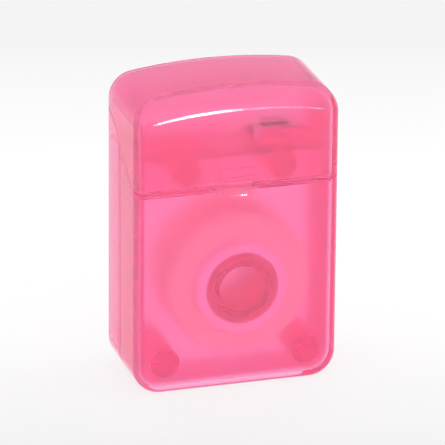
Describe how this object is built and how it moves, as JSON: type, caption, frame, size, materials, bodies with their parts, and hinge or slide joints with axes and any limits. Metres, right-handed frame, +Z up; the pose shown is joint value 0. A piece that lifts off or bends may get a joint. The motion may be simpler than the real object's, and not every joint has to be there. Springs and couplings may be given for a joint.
{
  "type": "dental floss dispenser",
  "caption": "Small upright box with round corners, a flip-up lid on a living hinge, and a turning spool that feeds waxed floss to a notched steel cutter.",
  "frame": {"origin": "middle of the flat base, on the surface the box stands on", "axes": "+Z up, -Y out of the front face, +X to the right as seen from the front"},
  "size_m": [0.035, 0.0188, 0.0526],
  "materials": {
    "case_plastic": "translucent pink polypropylene, glossy outside",
    "lid_plastic": "translucent pink polypropylene, glossy outside",
    "core_plastic": "moulded white polystyrene",
    "waxed_floss": "waxed nylon thread, slight sheen",
    "cutter_steel": "thin stamped stainless sheet"
  },
  "bodies": {
    "case": {"front_shell": "case_plastic", "rear_shell": "case_plastic", "living_hinge": "lid_plastic", "floss_lead": "waxed_floss", "cutter": "cutter_steel"},
    "lid": {"lid": "lid_plastic"},
    "spool": {"spool_core": "core_plastic", "floss_pack": "waxed_floss", "floss_outer_turns": "waxed_floss"}
  },
  "joints": [
    {"name": "lid_hinge", "type": "hinge", "parent": "case", "child": "lid", "pos_m": [0, 0.00935, 0.0453], "axis": [-1, 0, 0], "range_deg": [0, 175], "deforming": ["living_hinge"]},
    {"name": "spool_spin", "type": "hinge", "parent": "case", "child": "spool", "pos_m": [0.0011, 0, 0.0173], "axis": [0, 1, 0], "continuous": true}
  ]
}
